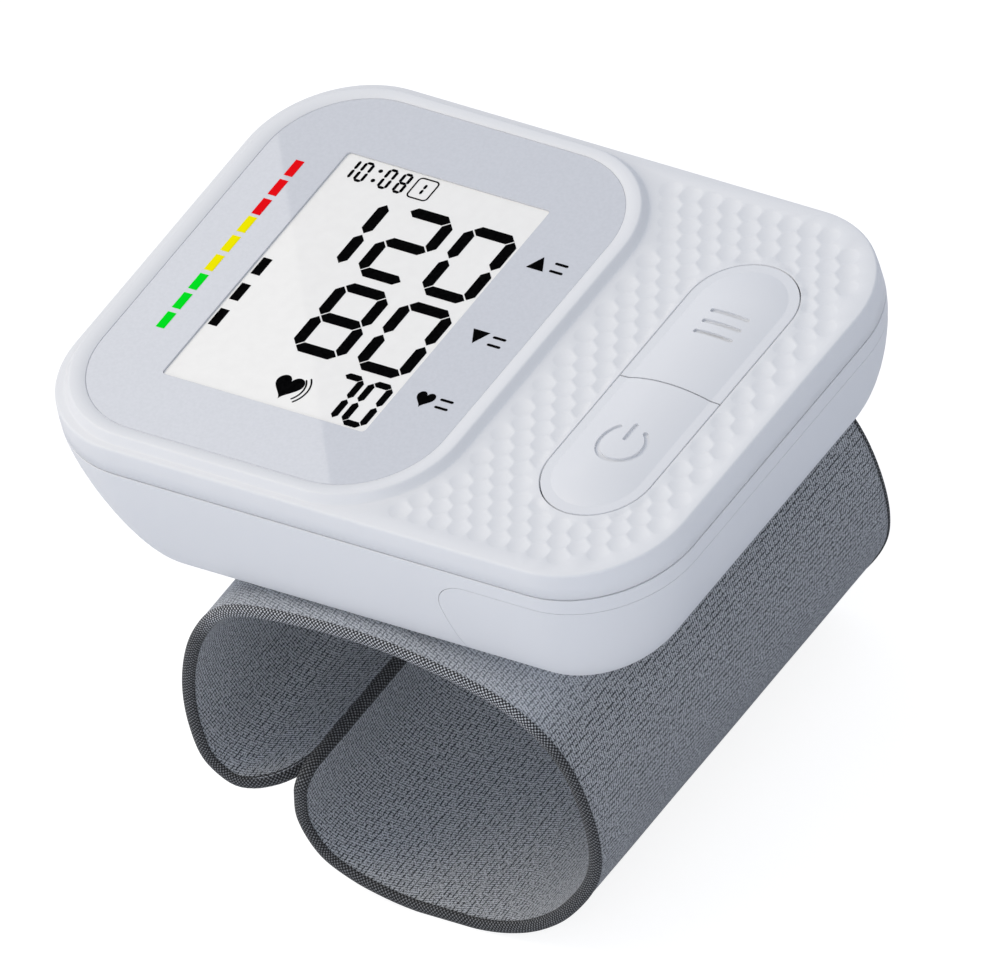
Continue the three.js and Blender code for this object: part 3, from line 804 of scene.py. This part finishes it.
def belly_shell(name):
    rim = [case_ring(RIM, BOTTOM_EDGE - BELLY_EDGE), case_ring(RIM, BOTTOM_EDGE, BELLY_EDGE)]
    return solid_piece(name, belly_rings(0)[:-1] + rim + belly_rings(WALL)[::-1], WHITE)


def door_prism(gap):
    """Space of the battery door: an outline seen from the front, with a round upper corner."""
    left, top, radius = DOOR_X + gap, DOOR_SEAM - gap, DOOR_CORNER - gap
    low, right, side = CASE_BOTTOM - CUT_MARGIN, RIM[0] + CUT_MARGIN, RIM[1] + CUT_MARGIN
    corner = arc(left + radius, top - radius, radius, 90, 180, DOOR_STEPS)
    outline = [(right, low), (right, top), *corner, (left, low)]
    rings = [[(x, y, z) for x, z in outline] for y in (side, -side)]
    return solid_piece("door_space", rings, WHITE)


def make_lower_case():
    shell = belly_shell("bottom_shell")
    boolean(shell, door_prism(0), "DIFFERENCE")
    holes = joined(*(prism(circle(x, y, RECESS_RADIUS), *RECESS_CUT) for x, y in SCREWS))
    boolean(shell, new_piece("recesses", *holes, WHITE), "DIFFERENCE")
    dress(shell, "case", "white_plastic", "bottom_case")

    bosses = []
    for x, y in SCREWS:
        section = [(RECESS_RADIUS, BOSS_LOW), (RECESS_RADIUS, SCREW_SEAT), (SCREW_HOLE_RADIUS, SCREW_SEAT),
                   (SCREW_HOLE_RADIUS, BOSS_TOP), (BOSS_RADIUS, BOSS_TOP), (BOSS_RADIUS, BOSS_LOW)]
        rings = [[(px, py, z) for px, py in circle(x, y, r)] for r, z in section]
        bosses.append(loft(rings + rings[:1]))
    bosses = new_piece("screw_bosses", *joined(*bosses), WHITE)
    boolean(bosses, solid_piece("boss_limit", belly_rings(BOSS_INSET), WHITE), "INTERSECT")
    dress(bosses, "case", "white_plastic")

    left = block(BAY_LEFT, BAY_LEFT + BAY_WALL, -RIM[1], RIM[1], CASE_BOTTOM, BAY_WALL_TOP)
    roof = block(BAY_INNER, RIM[0], -RIM[1], RIM[1], *BAY_ROOF)
    ends = [block(BAY_INNER, BAY_RIGHT, y, y + BAY_WALL, BAY_LOW, BAY_ROOF[0] - BAY_GAP)
            for y in (-BAY_END - BAY_WALL, BAY_END)]
    bay = new_piece("battery_bay", *joined(left, roof, *ends), WHITE)
    boolean(bay, solid_piece("bay_limit", belly_rings(WALL / 2), WHITE), "INTERSECT")
    dress(bay, "case", "white_plastic")

    door = belly_shell("door_shell")
    boolean(door, door_prism(DOOR_GAP), "INTERSECT")
    dress(door, "door", "white_plastic", "battery_door")


# Buttons

def cap_height(inset):
    """Height of a button above the field, at a distance from its edge."""
    if inset <= RIM_WIDTH:
        return RIM_RISE * inset / RIM_WIDTH
    reach = SLOT_HALF - BUTTON_GAP - RIM_WIDTH
    share = min((inset - RIM_WIDTH) / reach, 1)
    return RIM_RISE + CROWN_RISE * (1 - (1 - share) ** CROWN_POWER)


def cap_top(x, y):
    return FIELD_TOP + cap_height(max(depth_inside(SLOT, x, y) - BUTTON_GAP, 0))


def half_button_ring(side, inset, z):
    half = SLOT_HALF - BUTTON_GAP - inset
    end = arc(BUTTON_X, SLOT_END - SLOT_HALF, half, 0, 180, 2 * CORNER_STEPS)
    outline = [(BUTTON_X + half, BUTTON_SPLIT), *end, (BUTTON_X - half, BUTTON_SPLIT)]
    return [(x, side * y, z) for x, y in outline[::side]]


def stroke(path, width, end_steps=6):
    """Outline of a line of that width along a path, with round ends."""
    path = [Vector(point) for point in path]
    left, right = [], []
    for before, point, after in zip(path[:1] + path, path, path[1:] + path[-1:]):
        along = (after - before).normalized()
        out = Vector((-along.y, along.x)) * width / 2
        left.append(point + out)
        right.append(point - out)

    def cap(center, start):
        turns = [-math.pi * i / end_steps for i in range(1, end_steps)]
        return [center + Matrix.Rotation(t, 2) @ (start - center) for t in turns]

    return left + cap(path[-1], left[-1]) + right[::-1] + cap(path[0], right[0])


def engraving(path):
    """Tool that cuts a line into a button, to the same depth all along its crown."""
    outline = stroke(path, MARK_STROKE)
    low = [(x, y, cap_top(x, y) - MARK_DEPTH) for x, y in outline]
    high = [(x, y, MARK_TOP) for x, y in outline]
    return solid_piece("engraving", [low, high], BUTTON_WHITE)


def make_button(name, side, marks):
    rings = [half_button_ring(side, inset, z) for inset, z in BUTTON_SIDE]
    rings += [half_button_ring(side, inset, FIELD_TOP + cap_height(inset)) for inset in BUTTON_INSETS]
    piece = solid_piece(f"{name}_cap", rings, BUTTON_WHITE)
    for mark in marks:
        boolean(piece, engraving(mark), "DIFFERENCE")
    dress(piece, f"{name}_key", "button_plastic", f"{name}_button")


def make_buttons():
    x, y = POWER_MARK
    make_button("power", -1, [arc(x, y, *POWER_ARC), [(x, y + rise) for rise in POWER_BAR]])
    x, y = MEMORY_MARK
    lines = [[(x + reach, y + rise) for reach in MEMORY_REACH] for rise in MEMORY_RISES]
    make_button("memory", 1, lines)


# Display

def make_lens():
    rows = [(LENS, LENS_FOOT, LENS_GAP), (LENS, LENS_TOP - LENS_EDGE, LENS_GAP),
            (LENS, LENS_TOP, LENS_GAP + LENS_EDGE), (WINDOW, LENS_TOP, -WINDOW_EDGE),
            (WINDOW, LENS_TOP - WINDOW_EDGE), (WINDOW, LENS_FOOT)]
    rings = [panel_ring(*row) for row in rows]
    piece = new_piece("lens_border", *loft(rings + rings[:1]), LENS_PRINT, sharp=CUT_SHARP)
    dress(piece, "case", "lens", "display_lens")
    screen = [panel_ring(WINDOW, z, WINDOW_EDGE) for z in (LENS_FOOT, LENS_TOP - WINDOW_DEPTH)]
    dress(solid_piece("screen_face", screen, SCREEN), "case", "lcd", "display_lens")


def plates(name, outlines, z, material, slot):
    """Flat printed shapes of ink thickness at a height."""
    piece = new_piece(name, *joined(*(prism(outline, z, z + INK) for outline in outlines)), material)
    dress(piece, "case", slot)


def segment_bar(start, end, thick, gap):
    """One bar of a digit: a six-sided shape with pointed ends."""
    a, b = Vector(start), Vector(end)
    along = (b - a).normalized()
    out = Vector((-along.y, along.x)) * thick / 2
    a, b = a + along * gap, b - along * gap
    inset = along * thick / 2
    return [a, a + inset - out, b - inset - out, b, b - inset + out, a + inset + out]


def digit(text, left, right, bottom, top, thick):
    gap = thick * SEGMENT_GAP
    x0, x1 = left + thick / 2, right - thick / 2
    y0, y1 = bottom + thick / 2, top - thick / 2
    middle = (y0 + y1) / 2
    ends = {
        "a": ((x0, y1), (x1, y1)), "b": ((x1, middle), (x1, y1)), "c": ((x1, y0), (x1, middle)),
        "d": ((x0, y0), (x1, y0)), "e": ((x0, y0), (x0, middle)), "f": ((x0, middle), (x0, y1)),
        "g": ((x0, middle), (x1, middle)),
    }
    return [segment_bar(*ends[letter], thick, gap) for letter in SEGMENTS[text]]


def number(text, right, width, pitch, bottom, top, thick):
    """Digits of a number, from its right end."""
    bars = []
    for place, character in enumerate(reversed(text)):
        edge = right - place * pitch
        bars += digit(character, edge - width, edge, bottom, top, thick)
    return bars


def heart(x, y, width, count=48):
    """Outline of a heart, from the usual heart curve, which is 32 wide."""
    scale, height_share = width / 32, 1.12
    outline = []
    for i in range(count):
        t = 2 * math.pi * i / count
        up = 13 * math.cos(t) - 5 * math.cos(2 * t) - 2 * math.cos(3 * t) - math.cos(4 * t)
        outline.append((x - scale * 16 * math.sin(t) ** 3, y + scale * height_share * up))
    return outline


def make_display_marks():
    bars = [bar for reading in READINGS for bar in number(*reading)]
    bars += [circle(*dot) for dot in COLON]
    bars += [rectangle(*POINTER_X, level, level + POINTER_LENGTH) for level in POINTER_LEVELS]
    bars += [heart(*HEART)]
    bars += [stroke(arc(*BEAT_CENTER, radius, *BEAT_ARC), BEAT_STROKE) for radius in BEAT_RADII]
    user_box = rounded_ring(*USER_BOX)
    bars += [stroke(user_box + user_box[:1], USER_STROKE)]
    bars += digit(*USER_DIGIT)
    plates("screen_digits", bars, LENS_TOP - WINDOW_DEPTH, INKS["black"], "lcd")

    for name, first in LEVEL_STARTS.items():
        starts = [first + LEVEL_PITCH * i for i in range(3)]
        levels = [rectangle(*LEVEL_X, start, start + LEVEL_LENGTH) for start in starts]
        plates(f"level_bars_{name}", levels, LENS_TOP, INKS[name], "lens")

    left, right, point = ARROW_X
    labels = [[(left, level - way), (right, level - way), (point, level + way)][::way]
              for level, way in ARROWS]
    labels.append(heart(*LABEL_HEART))
    for level in LABEL_LEVELS:
        labels += [stroke([(x, level + rise) for x in LABEL_X], LABEL_STROKE) for rise in LABEL_RISES]
    plates("lens_labels", labels, LENS_TOP, INKS["black"], "lens")


# Cuff

def strap_table():
    """Points of the strap's outer face with their direction and distance from the left tip."""
    rows = []
    knots = [Vector(k) for k in STRAP_KNOTS]
    padded = [2 * knots[0] - knots[1], *knots, 2 * knots[-1] - knots[-2]]
    length = 0
    for index in range(len(knots) - 1):
        p0, p1, p2, p3 = padded[index:index + 4]
        d0, d1, d2 = (math.sqrt((b - a).length) for a, b in ((p0, p1), (p1, p2), (p2, p3)))
        out = ((p1 - p0) / d0 - (p2 - p0) / (d0 + d1) + (p2 - p1) / d1) * d1
        into = ((p2 - p1) / d1 - (p3 - p1) / (d1 + d2) + (p3 - p2) / d2) * d1
        square = -3 * p1 + 3 * p2 - 2 * out - into
        cube = 2 * p1 - 2 * p2 + out + into
        last = index == len(knots) - 2
        for step in range(CURVE_STEPS + last):
            t = step / CURVE_STEPS
            point = p1 + out * t + square * t * t + cube * t * t * t
            along = (out + square * 2 * t + cube * 3 * t * t).normalized()
            point.y = max(point.y, 0)
            if rows:
                length += (point - rows[-1][1]).length
            rows.append((length, point, along, index + t))
    return rows


STRAP = strap_table()
STRAP_DISTANCES = [row[0] for row in STRAP]
STRAP_LENGTH = STRAP_DISTANCES[-1]


def strap_at(distance):
    """Point and direction at a distance along the strap, straight on past its ends."""
    high = min(max(bisect.bisect_right(STRAP_DISTANCES, distance), 1), len(STRAP) - 1)
    (s0, p0, a0, _), (s1, p1, a1, _) = STRAP[high - 1:high + 1]
    share = (distance - s0) / (s1 - s0)
    return p0 + (p1 - p0) * share, (a0 + (a1 - a0) * share).normalized()


def strap_point(distance, depth, y):
    point, along = strap_at(distance)
    return (point.x + along.y * depth, y, point.y - along.x * depth)


def knot_distance(knot):
    return min(STRAP, key=lambda row: abs(row[3] - knot))[0]


BLADDER_SPAN = [knot_distance(knot) for knot in BLADDER_KNOTS]
# Distances along the strap of the painted light over the arch
ARCH_LIGHT_SPAN = [knot_distance(knot) for knot in ARCH_LIGHT_KNOTS]


def arch_light_share(s):
    """Share of painted light on the cloth over the arch: the cloth is made lighter there, as if more light
    fell on it.
    """
    first, whole, ending, last = ARCH_LIGHT_SPAN
    return smooth_step((s - first) / (whole - first)) * smooth_step((last - s) / (last - ending))


def cloth_piece(name, points, faces, places, material):
    """A closed piece of cloth, which keeps each point's place on the cloth for the weave, and its share of
    painted light.
    """
    piece = mesh_object(name, points, faces)
    finish_surface(piece, material, CLOTH_SHARP)
    rework(piece.data, False, True)
    attribute = piece.data.attributes.new("cloth", "FLOAT_VECTOR", "POINT")
    attribute.data.foreach_set("vector", [c for place in places for c in place])
    return piece


def cloth_edge(s):
    """Half width of the cloth at a distance along the strap: it narrows at the tips' round corners."""
    whole = LEFT_CORNER if s < STRAP_LENGTH / 2 else RIGHT_CORNER
    radius = whole - CLOTH_INSET
    corner = max(whole - min(s, STRAP_LENGTH - s), 0)
    return CUFF_EDGE - whole + math.sqrt(max(radius ** 2 - corner ** 2, 0))


def cloth_strip(name, start, end, outer, material, inward, thick=CLOTH_THICK, edge=cloth_edge):
    """A thin sheet on the strap, edge(s) wide to each side, with its shown face at depth outer(s, y)."""
    steps = round((end - start) / CLOTH_STEP)
    lanes = round(2 * CUFF_EDGE / LANE_STEP)
    points, places = [], []
    for side in (0, 1):
        for i in range(steps + 1):
            s = start + (end - start) * i / steps
            for j in range(lanes + 1):
                y = edge(s) * (2 * j / lanes - 1)
                points.append(strap_point(s, outer(s, y) + side * thick * inward, y))
                # On the outer cloth, the third place is the share of painted light over the arch
                places.append((s, y, arch_light_share(s) if inward > 0 else 0))
    width = lanes + 1
    back = (steps + 1) * width

    def quad(i, j, u, v, start=0):
        a = start + i * width + j
        return (a, a + u, a + u + v, a + v)

    faces = []
    for i in range(steps):
        for j in range(lanes):
            faces += [quad(i, j, 1, width), quad(i, j, width, 1, back)]
    faces += [quad(0, j, back, 1) for j in range(lanes)]
    faces += [quad(steps, j, 1, back) for j in range(lanes)]
    faces += [quad(i, 0, width, back) for i in range(steps)]
    faces += [quad(i, lanes, back, width) for i in range(steps)]
    return cloth_piece(name, points, faces, places, material)


def soft_wave(s, y):
    """Slight unevenness of soft cloth."""
    return WAVE_HEIGHT * noise.noise(Vector((s / WAVE_ALONG, y / WAVE_ACROSS, 0)))


def sink_at_edges(s, y):
    """The cloth dips under the edge tape."""
    from_edge = min(CUFF_EDGE - abs(y), s, STRAP_LENGTH - s)
    return SINK_DEPTH * smooth_step((SINK_START - from_edge) / SINK_FADE)


def outer_depth(s, y):
    return soft_wave(s, y) + sink_at_edges(s, y)


def lining_depth(s, y):
    """The lining bulges over the bladder."""
    first, last = BLADDER_SPAN
    along = smooth_step((s - first) / PUFF_FADE_ALONG) * smooth_step((last - s) / PUFF_FADE_ALONG)
    across = smooth_step((PUFF_EDGE - abs(y)) / PUFF_FADE_ACROSS)
    return STRAP_THICK + PUFF * along * across + soft_wave(s + WAVE_SHIFT, y) - sink_at_edges(s, y)


def tape_profile():
    """Section of the folded tape, as distance from the cuff's edge and depth."""
    middle = STRAP_THICK / 2
    nose = [(TAPE_NOSE * (1 - math.sin(t)), middle - (middle + TAPE_PROUD) * math.cos(t))
            for t in (math.pi * i / TAPE_NOSE_STEPS for i in range(TAPE_NOSE_STEPS + 1))]
    flat = [(TAPE_WIDTH, TAPE_SUNK), (TAPE_WIDTH, -TAPE_PROUD * TAPE_LIP_SHARE),
            (TAPE_WIDTH - TAPE_LIP, -TAPE_PROUD)]
    back = [(w, STRAP_THICK - d) for w, d in reversed(flat)]
    return flat + nose + back


def tape_path(tip, split, corner):
    """Edge of half the cuff: along the near side, round the tip and back, with the way inwards."""
    way = 1 if split > tip else -1
    length = abs(split - tip) - corner
    steps = round(length / CLOTH_STEP)
    near = [(split - way * length * i / steps, -CUFF_EDGE, 0, 1) for i in range(steps)]
    for i in range(CORNER_STEPS):
        turn = i / CORNER_STEPS * math.pi / 2
        s = tip + way * corner * (1 - math.sin(turn))
        near.append((s, corner * (1 - math.cos(turn)) - CUFF_EDGE, way * math.sin(turn), math.cos(turn)))
    half = CUFF_EDGE - corner
    lanes = round(half / LANE_STEP)
    near += [(tip, half * (i / lanes - 1), way, 0) for i in range(lanes)]
    far = [(s, -y, into_s, -into_y) for s, y, into_s, into_y in reversed(near)]
    return near + [(tip, 0, way, 0)] + far


def running_lengths(points):
    """Distance of each point from the first one, along the points."""
    lengths = [0]
    for a, b in zip(points, points[1:]):
        lengths.append(lengths[-1] + math.dist(a, b))
    return lengths


def make_tape(name, tip, split, corner):
    profile = tape_profile()
    around = running_lengths(profile)
    path = tape_path(tip, split, corner)
    runs = running_lengths([place[:2] for place in path])
    rings, places = [], []
    for run, (s, y, into_s, into_y) in zip(runs, path):
        rings.append([strap_point(s + into_s * w, depth, y + into_y * w) for w, depth in profile])
        # The tape takes the painted light over the arch too
        places += [(run, turn, arch_light_share(s)) for turn in around]
    return cloth_piece(name, *loft(rings, True), places, TAPE)


# For each half of the cuff: its tip, the radius of its corners, the body of its flap, and where it bends,
# as X and the heights of start and end
HALVES = {
    "left": (0, LEFT_CORNER, "left_flap", -29, 24.5, 17.8),
    "right": (STRAP_LENGTH, RIGHT_CORNER, "right_flap", 25.6, 30, 18.5),
}


def make_hook_pad():
    ends = [knot_distance(knot) for knot in HOOK_KNOTS]
    thick = HOOK_THICK - HOOK_SUNK
    pad = cloth_strip("hook_pad", *ends, lambda s, y: -HOOK_THICK, HOOK, 1, thick, lambda s: HOOK_EDGE)
    return dress(pad, "left_flap", "hook", "hook_patch")


def make_cuff():
    split = knot_distance(SPLIT_KNOT)
    sewn_on = {"left": [make_hook_pad()], "right": []}
    for name, (tip, corner, flap, hinge_x, start_z, end_z) in HALVES.items():
        way = 1 if split > tip else -1
        ends = sorted((tip + way * CLOTH_INSET, split))
        outer = cloth_strip(f"{name}_cuff_cloth", *ends, outer_depth, KNIT, 1)
        lining = cloth_strip(f"{name}_cuff_lining", *ends, lining_depth, LINING, -1)
        tape = make_tape(f"{name}_cuff_tape", tip, split, corner)
        for piece in (outer, lining, tape):
            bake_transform(piece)
        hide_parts(f"{name}_flap_outer", f"{name}_flap_stay", "cuff_outer_center", "cuff_stay")
        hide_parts(f"{name}_flap_lining", "cuff_lining_center", "cuff_bladder")
        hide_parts(f"{name}_binding_near", f"{name}_binding_far",
                    "center_binding_near", "center_binding_far")


# Pieces kept from the solids

KEPT = [
    (BLACK, ["lcd_frame", "control_chip", "buzzer", "power_switch", "memory_switch", "pump_head",
             "pressure_sensor"]),
    (RUBBER, ["zebra_strip", "power_actuator", "memory_actuator"]),
    (STEEL, ["pump_motor", "release_valve", *(f"case_screw_{i}" for i in (1, 2, 3, 4))]),
    (BRASS, ["contact_plus", "contact_minus", "contact_bridge"]),
    (SILICONE, ["pump_hose", "valve_hose", "sensor_hose"]),
    (STAY, ["air_tee", "cuff_nipple", "cuff_mount_plate"]),
    (BOARD, ["main_board"]),
    (CELL, ["battery_1", "battery_2"]),
    (SCREEN, ["lcd_panel"]),
]


def dress_kept_nodes():
    for material, names in KEPT:
        for name in names:
            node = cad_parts[name]
            node.data.materials.clear()
            node.data.materials.append(material)


# Stage

def lit_background(owner, plain, shown):
    """Mixes what lights the object with what the camera sees."""
    rays = add(owner, "ShaderNodeLightPath").outputs["Is Camera Ray"]
    return add(owner, "ShaderNodeMixShader", {0: rays, 1: plain, 2: shown}).outputs[0]


def bare_material(name):
    """A material with no shader yet."""
    material = new_material(name)
    material.node_tree.nodes.remove(material.node_tree.nodes["Principled BSDF"])
    return material


def connect_surface(owner, output, surface):
    owner.node_tree.links.new(surface, owner.node_tree.nodes[output].inputs["Surface"])


def make_floor():
    corners = [(x, y, 0) for x, y in rectangle(-FLOOR_HALF, FLOOR_HALF, -FLOOR_HALF, FLOOR_HALF)]
    floor = mesh_object("floor", corners, [(0, 1, 2, 3)])
    material = bare_material("pale_floor")
    bounce = add(material, "ShaderNodeBsdfDiffuse", {"Color": FLOOR_BOUNCE})
    shade = add(material, "ShaderNodeBsdfDiffuse", {"Color": FLOOR_SHADE})
    glow = add(material, "ShaderNodeEmission", {"Strength": FLOOR_GLOW})
    both = add(material, "ShaderNodeAddShader", {0: shade.outputs[0], 1: glow.outputs[0]})
    surface = lit_background(material, bounce.outputs[0], both.outputs[0])
    connect_surface(material, "Material Output", surface)
    floor.data.materials.append(material)


def make_world():
    world = bpy.data.worlds.new("studio")
    world.use_nodes = True
    sky = world.node_tree.nodes["Background"]
    sky.inputs["Color"].default_value = AMBIENT
    way = add(world, "ShaderNodeTexCoord").outputs["Generated"]
    to_right = add(world, "ShaderNodeSeparateXYZ", {0: way}).outputs["X"]
    strength = scaled_sum(world, to_right, -AMBIENT_SLOPE, AMBIENT_STRENGTH)
    world.node_tree.links.new(strength, sky.inputs["Strength"])
    white = add(world, "ShaderNodeBackground", {"Color": (1, 1, 1, 1)})
    connect_surface(world, "World Output", lit_background(world, sky.outputs[0], white.outputs[0]))
    bpy.context.scene.world = world


def make_lamp(name, source, power, color):
    light = bpy.data.lights.new(name, "AREA")
    light.shape = "DISK"
    light.size = LAMP_SIZE * MM
    light.energy = power
    light.color = color
    lamp = add_object(name, light)
    toward = source.normalized()
    lamp.location = (LAMP_AIM + toward * LAMP_DISTANCE) * MM
    lamp.rotation_mode = "QUATERNION"
    lamp.rotation_quaternion = toward.to_track_quat("Z", "Y")
    lamp.visible_camera = False


def make_reflected_card():
    """A pale card over the display, seen only in gloss: its edge crosses the lens as a slanted sheen."""
    back = CAMERA_RIGHT.cross(CAMERA_UP)
    mirrored = Vector((-back.x, -back.y, back.z)) * CARD_DISTANCE
    points = [Vector((x, y, LENS_TOP)) + mirrored for x, y in CARD_OUTLINE]
    card = mesh_object("card", points, [(0, 1, 2)])
    material = bare_material("card_glow")
    glow = add(material, "ShaderNodeEmission", {"Strength": CARD_GLOW})
    connect_surface(material, "Material Output", glow.outputs[0])
    card.data.materials.append(material)
    for ray in ("camera", "diffuse", "transmission", "volume_scatter", "shadow"):
        setattr(card, f"visible_{ray}", False)


def make_camera():
    data = bpy.data.cameras.new("camera")
    data.type = "ORTHO"
    data.ortho_scale = PICTURE_WIDTH / PIXELS_PER_MM * MM
    data.clip_start = CAMERA_NEAR * MM
    data.clip_end = CAMERA_FAR * MM
    camera = add_object("camera", data)
    back = CAMERA_RIGHT.cross(CAMERA_UP).normalized()
    up = back.cross(CAMERA_RIGHT).normalized()
    right = up.cross(back)
    place = (CAMERA_AIM + back * CAMERA_DISTANCE) * MM
    axes = Matrix((right, up, back)).transposed().to_4x4()
    camera.matrix_world = Matrix.Translation(place) @ axes
    bpy.context.scene.camera = camera


make_camera()
make_world()
make_lamp("key", KEY_FROM, KEY_POWER, KEY_COLOR)
make_lamp("fill", FILL_FROM, FILL_POWER, FILL_COLOR)
make_floor()
make_reflected_card()
bpy.context.scene.view_settings.view_transform = "Standard"

make_top_cover()
make_lower_case()
make_buttons()
make_lens()
make_display_marks()
make_cuff()
dress_kept_nodes()
